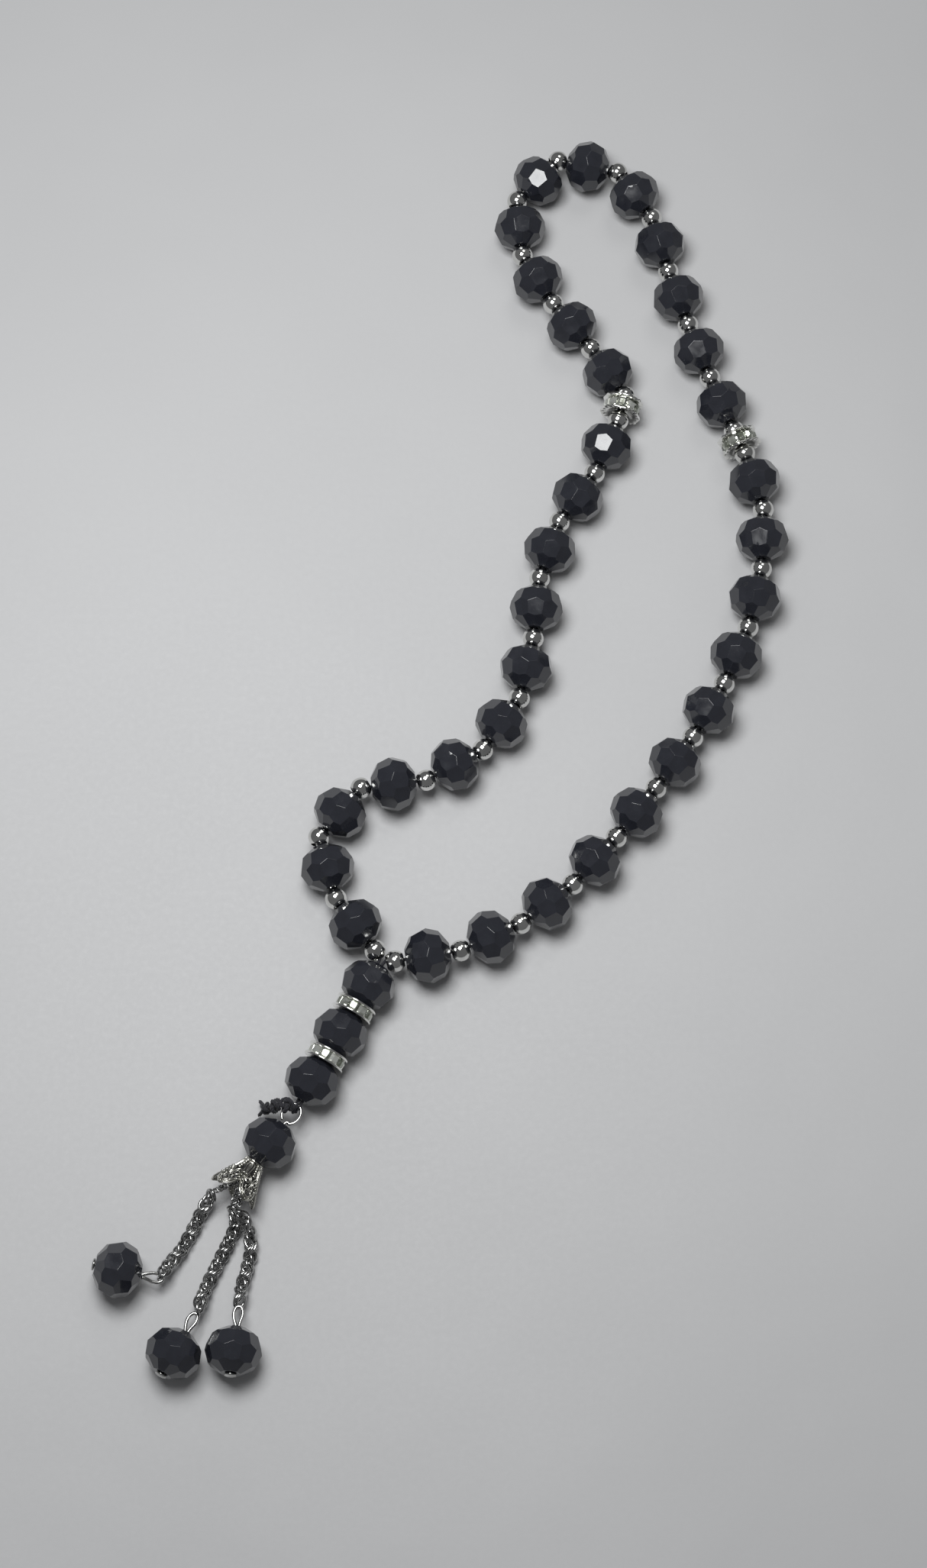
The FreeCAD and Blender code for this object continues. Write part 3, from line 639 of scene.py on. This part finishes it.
# ---------------------------------------------------------------- cap
CAP_EYE_DEPTH = 3.4              # from the cap's top down to the middle of the eye inside it
CAP_TOP = CAP_EYE - TASSEL_DIRECTION * CAP_EYE_DEPTH
CAP_LENGTH = 7.0
CAP_SIDE = unit(np.cross(TASSEL_DIRECTION, UP))
CAP_UP = np.cross(CAP_SIDE, TASSEL_DIRECTION)
PETALS = 5
PETAL_TURN = 32.0                # degrees from upright to the first petal's middle
PETAL_WIDTHS = [                 # place down the cap, and half the petal's width there
    (0.0, 0.95), (0.15, 1.1), (0.35, 1.6), (0.55, 1.95), (0.72, 1.9), (0.86, 1.45), (0.95, 0.85),
    (1.0, 0.0)]
OUTLINE_LEVELS = [0.0, 0.12, 0.26, 0.4, 0.54, 0.66, 0.77, 0.86, 0.93, 0.975]
RING_LEVEL = 0.8                 # place down the cap of the ring near each petal's tip
# Place down the cap where the painted-shade sheet behind each petal ends.
SHADE_SHEET_END = 0.68
LID_PROFILE = [(0.5, 0.05), (0.62, -0.02), (1.2, 0.0), (1.66, 0.12), (1.66, 0.3), (1.2, 0.22),
               (0.6, 0.2), (0.5, 0.14)]


def cap_radius(down):
    """The bell's radius: down from 0 at its top to 1 at the hem."""
    return 1.62 + 3.0 * down ** 1.12


def on_cap(down, turn, out=0.0):
    """A point on the cap's bell; turn is in degrees from upright, and out lifts it off the surface."""
    angle = math.radians(turn)
    outward = CAP_UP * math.cos(angle) + CAP_SIDE * math.sin(angle)
    along = TASSEL_DIRECTION * CAP_LENGTH * (0.02 + 0.95 * down)
    return CAP_TOP + along + outward * (cap_radius(down) + out)


def petal_turn(down, aside, middle):
    """The turn of a point `aside` millimetres from a petal's middle line."""
    return middle + math.degrees(aside / cap_radius(down))


def petal_half_width(down):
    """Half the width of a petal: joined at the top, widest past the middle, round at its tip."""
    places, widths = zip(*PETAL_WIDTHS)
    return float(np.interp(down, places, widths))


def petal_outline(middle, inset, radius, out):
    """A closed wire round a petal, drawn in from its edge by inset."""
    right = []
    for level in OUTLINE_LEVELS:
        down = level * (1 - inset * 0.16) + inset * 0.1
        right.append((down, max(petal_half_width(down) - inset, 0.12)))
    outline = [on_cap(down, petal_turn(down, aside, middle), out) for down, aside in right]
    outline.append(on_cap(1 - inset * 0.18, middle, out))
    outline += [on_cap(down, petal_turn(down, -aside, middle), out) for down, aside in right[::-1]]
    return wire(smooth_path(outline, 0.2, closed=True), radius, 8, closed=True)


def petal_ring(middle):
    """The open ring near a petal's tip."""
    ring = []
    for step in range(14):
        angle = 2 * math.pi * step / 14
        down = RING_LEVEL + 0.1 * math.cos(angle)
        ring.append(on_cap(down, petal_turn(down, 0.72 * math.sin(angle), middle), 0.12))
    return wire(smooth_path(ring, 0.18, closed=True), 0.19, 8, closed=True)


def petal_scroll(middle, side):
    """A wire that curls in on itself, on one side of a petal's middle line."""
    scroll = []
    for share in np.arange(15) / 14:
        angle = share * 3.3 * math.pi
        reach = 0.85 * (1 - share * 0.8)
        down = 0.5 + reach * math.cos(angle) / CAP_LENGTH * 1.3
        aside = side * (0.78 - reach * 0.8 * math.sin(angle))
        scroll.append(on_cap(down, petal_turn(down, aside, middle), 0.1))
    return wire(smooth_path(scroll, 0.15), 0.19, 6)


def grain(centre, radius):
    """A small soldered ball, slightly flattened."""
    rows = []
    for step in range(1, 7):
        polar = math.pi * step / 7
        rows.append([centre + radius * (CAP_SIDE * math.sin(polar) * math.cos(angle)
                                        + TASSEL_DIRECTION * math.sin(polar) * math.sin(angle)
                                        + CAP_UP * math.cos(polar) * 0.9)
                     for angle in np.arange(8) * math.pi / 4])
    return capped_grid(rows)


def petal_grains(middle):
    """Grains down a petal's middle, along both of its edges, and round the ring at its tip."""
    made = []
    for down in np.linspace(0.06, 0.34, 5):
        made.append(grain(on_cap(down, middle, 0.1), 0.32))
    for down in np.linspace(0.4, 0.68, 4):
        for side in (-1, 1):
            aside = side * (petal_half_width(down) - 0.24)
            made.append(grain(on_cap(down, petal_turn(down, aside, middle), 0.16), 0.25))
    for angle in np.radians(np.arange(0, 360, 45)):
        down = RING_LEVEL + 0.155 * math.cos(angle)
        aside = 1.08 * math.sin(angle)
        made.append(grain(on_cap(down, petal_turn(down, aside, middle), 0.12), 0.22))
    return made


def petal_shade_sheet(middle):
    """A near-black thin sheet behind a petal's wires, painted shade for the shaded inside of the cap; open
    at the ring near its tip.
    """
    rows = []
    for down in np.linspace(0.02, SHADE_SHEET_END, 9):
        asides = np.linspace(-1, 1, 9) * petal_half_width(down)
        front = [on_cap(down, petal_turn(down, aside, middle), -0.06) for aside in asides]
        back = [on_cap(down, petal_turn(down, aside, middle), -0.2) for aside in asides]
        rows.append(front + back[::-1])
    return capped_grid(rows)


def cap_lid():
    """The small ring-shaped plate on top, round the wire's hole."""
    rows = []
    for radius, height in LID_PROFILE:
        rows.append([CAP_TOP + TASSEL_DIRECTION * (height + 0.05)
                     + (CAP_UP * math.cos(angle) + CAP_SIDE * math.sin(angle)) * radius
                     for angle in np.arange(32) * math.pi / 16])
    return grid(rows)


def make_cap():
    """Five filigree petals joined by two collars at the top, and a dark sheet behind them that is painted
    shade.
    """
    middles = [PETAL_TURN + number * 360 / PETALS for number in range(PETALS)]
    parts = []
    for middle in middles:
        parts += [petal_outline(middle, 0.0, 0.22, 0.0), petal_outline(middle, 0.5, 0.13, 0.04),
                  petal_ring(middle), petal_scroll(middle, -1), petal_scroll(middle, 1)]
        parts += petal_grains(middle)
    for down, out, radius in ((0.0, 0.02, 0.26), (0.07, 0.08, 0.2)):
        collar = [on_cap(down, turn, out) for turn in range(0, 360, 15)]
        parts.append(wire(smooth_path(collar, 0.2, closed=True), radius, 8, closed=True))
    parts.append(cap_lid())
    make_piece("filigree_cap", parts, CAP_SILVER, "tassel_hanger", ["bead_cap"])
    # The dark sheet behind the petals is painted shade, standing in for the shaded inside of the cap.
    shade_sheets = [petal_shade_sheet(middle) for middle in middles]
    make_piece("filigree_painted_shade", shade_sheets, PAINTED_SHADE_SHEET, "tassel_hanger",
               ["bead_cap"])


# ---------------------------------------------------------------- chains
CHAIN_ROUTES = {                 # where each chain lies, from the cap's mouth to its headpin
    1: [(-42.4, -87.5, 4.1), (-44.4, -90.3, 2.2), (-46.2, -93.9, 1.4), (-48.4, -97.9, 1.7),
        (-50.6, -100.8, 2.9)],
    2: [(-39.2, -89.8, 2.7), (-38.6, -93.0, 1.4), (-40.4, -97.4, 1.4), (-42.6, -102.0, 1.4),
        (-43.8, -104.8, 1.9), (-44.5, -107.2, 3.0)],
    3: [(-37.9, -90.8, 5.4), (-36.3, -93.8, 2.6), (-35.8, -97.4, 1.4), (-36.5, -101.2, 1.4),
        (-37.2, -103.8, 1.9), (-37.4, -106.0, 3.0)],
}
LINK_PITCH = 0.66
LINK_HALF_LENGTH = 1.3
LINK_HALF_WIDTH = 1.05
LINK_WIRE = 0.29
LINK_TURN = 52.0                 # degrees that each link is turned round the chain from the last
LINK_LEAN = 27.0                 # degrees that each link leans away from the chain's own line
END_MARGIN = 0.8                 # from a chain's end to its last link's middle, in half lengths
NECK_SHARE = 0.45                # size of the few small links inside the cap
FIRST_ROLL = 20                  # degrees that one chain's first link is turned from the last chain's
CHAIN_STEP = 0.05                # spacing of the points from which the links' places are read
LINK_POINTS = 20
PIN_EYE_RADIUS = 1.2


def chain_links(route, first_roll, share=1.0):
    """A rope chain: close oval links, each leaning and turned a step further round the chain."""
    path = smooth_path(route, CHAIN_STEP)
    tangents, across, upright = frames_along(path)
    travelled = distance_along(path)
    margin = LINK_HALF_LENGTH * END_MARGIN * share
    count = int(round((travelled[-1] - 2 * margin) / (LINK_PITCH * share))) + 1
    lean = math.radians(LINK_LEAN)
    made = []
    for where in np.linspace(margin, travelled[-1] - margin, count):
        here = int(np.searchsorted(travelled, where))
        roll = math.radians(first_roll + LINK_TURN * len(made))
        broad = across[here] * math.cos(roll) + upright[here] * math.sin(roll)
        thick = upright[here] * math.cos(roll) - across[here] * math.sin(roll)
        lengthwise = tangents[here] * math.cos(lean) + thick * math.sin(lean)
        points = []
        for angle in np.arange(LINK_POINTS) * 2 * math.pi / LINK_POINTS:
            points.append(path[here] + lengthwise * LINK_HALF_LENGTH * share * math.cos(angle)
                          + broad * LINK_HALF_WIDTH * share * math.sin(angle))
        made.append(wire(points, LINK_WIRE * share, 8, closed=True))
    return made


def make_chains():
    """Three chains from the eye in the cap, each to the eye of its own headpin."""
    for number, route in CHAIN_ROUTES.items():
        start = CAP_EYE + unit(np.array(route[0]) - CAP_EYE) * CAP_EYE_RADIUS
        end = pivot(f"headpin_{number}_swing") - axis_of(f"drop_bead_{number}_spin") * PIN_EYE_RADIUS
        links = chain_links([start, route[0]], 0, NECK_SHARE)
        links += chain_links([*route, end], FIRST_ROLL * number)
        make_piece(f"chain_{number}_links", links, CHAIN_SILVER, f"chain_{number}",
                   [f"chain_{number}"])


# ---------------------------------------------------------------- headpins
PIN_OUTLINE = [                  # distance up from the bead's middle, and aside, along the wire
    (2.0, 0.0), (4.1, 0.0), (4.7, 0.22), (5.5, 0.55), (6.4, 0.78), (7.3, 0.72), (7.95, 0.38), (8.1, 0.0),
    (7.95, -0.38), (7.3, -0.72), (6.4, -0.78), (5.6, -0.58), (4.95, -0.45), (4.5, -0.42)]
PIN_END = BEAD_LENGTH / 2 + 0.1
DISC_PROFILE = [(0.02, 0.0), (0.95, 0.0), (1.08, 0.08), (1.1, 0.2), (1.0, 0.33), (0.6, 0.4),
                (0.02, 0.42)]


def pin_disc(foot, direction, across):
    """The flat round head that keeps a drop bead on its pin."""
    upright = np.cross(across, direction)
    rows = []
    for radius, height in DISC_PROFILE:
        rows.append([foot + direction * height
                     + (across * math.cos(angle) + upright * math.sin(angle)) * radius
                     for angle in np.arange(24) * math.pi / 12])
    return capped_grid(rows)


def make_headpins():
    """A wire through each drop bead, with a long eye above the bead and a flat head below it."""
    for number in (1, 2, 3):
        centre, direction = pivot(f"drop_bead_{number}_spin"), axis_of(f"drop_bead_{number}_spin")
        across = unit(np.cross(direction, UP))
        foot = centre + direction * PIN_END
        path = [foot]
        path += [centre - direction * along + across * aside for along, aside in PIN_OUTLINE]
        parts = [wire(smooth_path(path, 0.16), WIRE_RADIUS * 0.9, 10), pin_disc(foot, direction, across)]
        make_piece(f"headpin_{number}_wire", parts, WIRE_SILVER, f"headpin_{number}",
                   [f"headpin_{number}"])


# ---------------------------------------------------------------- floor, lights, camera
# From here on lengths are in metres.
FLOOR_HALF = 1.6
FLOOR_DROP = 0.00002


def make_floor():
    """The sheet of paper, a hair below the strand."""
    half = FLOOR_HALF
    mesh = bpy.data.meshes.new("floor")
    mesh.from_pydata([(-half, -half, 0), (half, -half, 0), (half, half, 0), (-half, half, 0)], [],
                     [(0, 1, 2, 3)])
    mesh.materials.append(paper())
    floor = bpy.data.objects.new("floor", mesh)
    floor.location.z = -FLOOR_DROP
    bpy.context.scene.collection.objects.link(floor)


def area_light(name, direction, distance, side, power, colour):
    """A square light that faces the middle of the strand from a direction."""
    data = bpy.data.lights.new(name, "AREA")
    data.shape = "SQUARE"
    data.size = side
    data.energy = power
    data.color = colour
    light = bpy.data.objects.new(name, data)
    light.location = Vector(direction).normalized() * distance
    light.rotation_euler = Vector(direction).to_track_quat("Z", "Y").to_euler()
    bpy.context.scene.collection.objects.link(light)


def make_lights():
    """A window almost straight above, a ceiling panel further back, and a dim grey room."""
    area_light("window", (-0.06, 0.04, 0.37), distance=0.377, side=0.18, power=1.2,
               colour=(0.985, 0.995, 1.0))
    area_light("ceiling_panel", (0.2, 0.55, 0.8), distance=1.2, side=0.45, power=1.0,
               colour=(1.0, 1.0, 0.98))
    world = bpy.data.worlds.new("room")
    world.use_nodes = True
    background = world.node_tree.nodes["Background"]
    background.inputs["Color"].default_value = (0.30, 0.303, 0.31, 1)
    background.inputs["Strength"].default_value = 0.45
    bpy.context.scene.world = world


VIEW_TARGET = Vector((1.9, -12.1, 5.0)) * MM
VIEW_ELEVATION = math.radians(73)
VIEW_DISTANCE = 527 * MM
LENS = 65.4


def make_camera():
    """The photograph's view: steeply down on the strand, from the tassel's side."""
    data = bpy.data.cameras.new("camera")
    data.lens = LENS
    data.sensor_width = 36
    data.clip_start = 0.01
    camera = bpy.data.objects.new("camera", data)
    back = Vector((0, -math.cos(VIEW_ELEVATION), math.sin(VIEW_ELEVATION)))
    camera.location = VIEW_TARGET + back * VIEW_DISTANCE
    camera.rotation_euler = back.to_track_quat("Z", "Y").to_euler()
    bpy.context.scene.collection.objects.link(camera)
    bpy.context.scene.camera = camera


finish_cad_nodes()
make_rondelles()
make_threads()
make_eyepin()
make_cap()
make_chains()
make_headpins()
make_floor()
make_lights()
make_camera()
bpy.context.scene.view_settings.view_transform = "Standard"
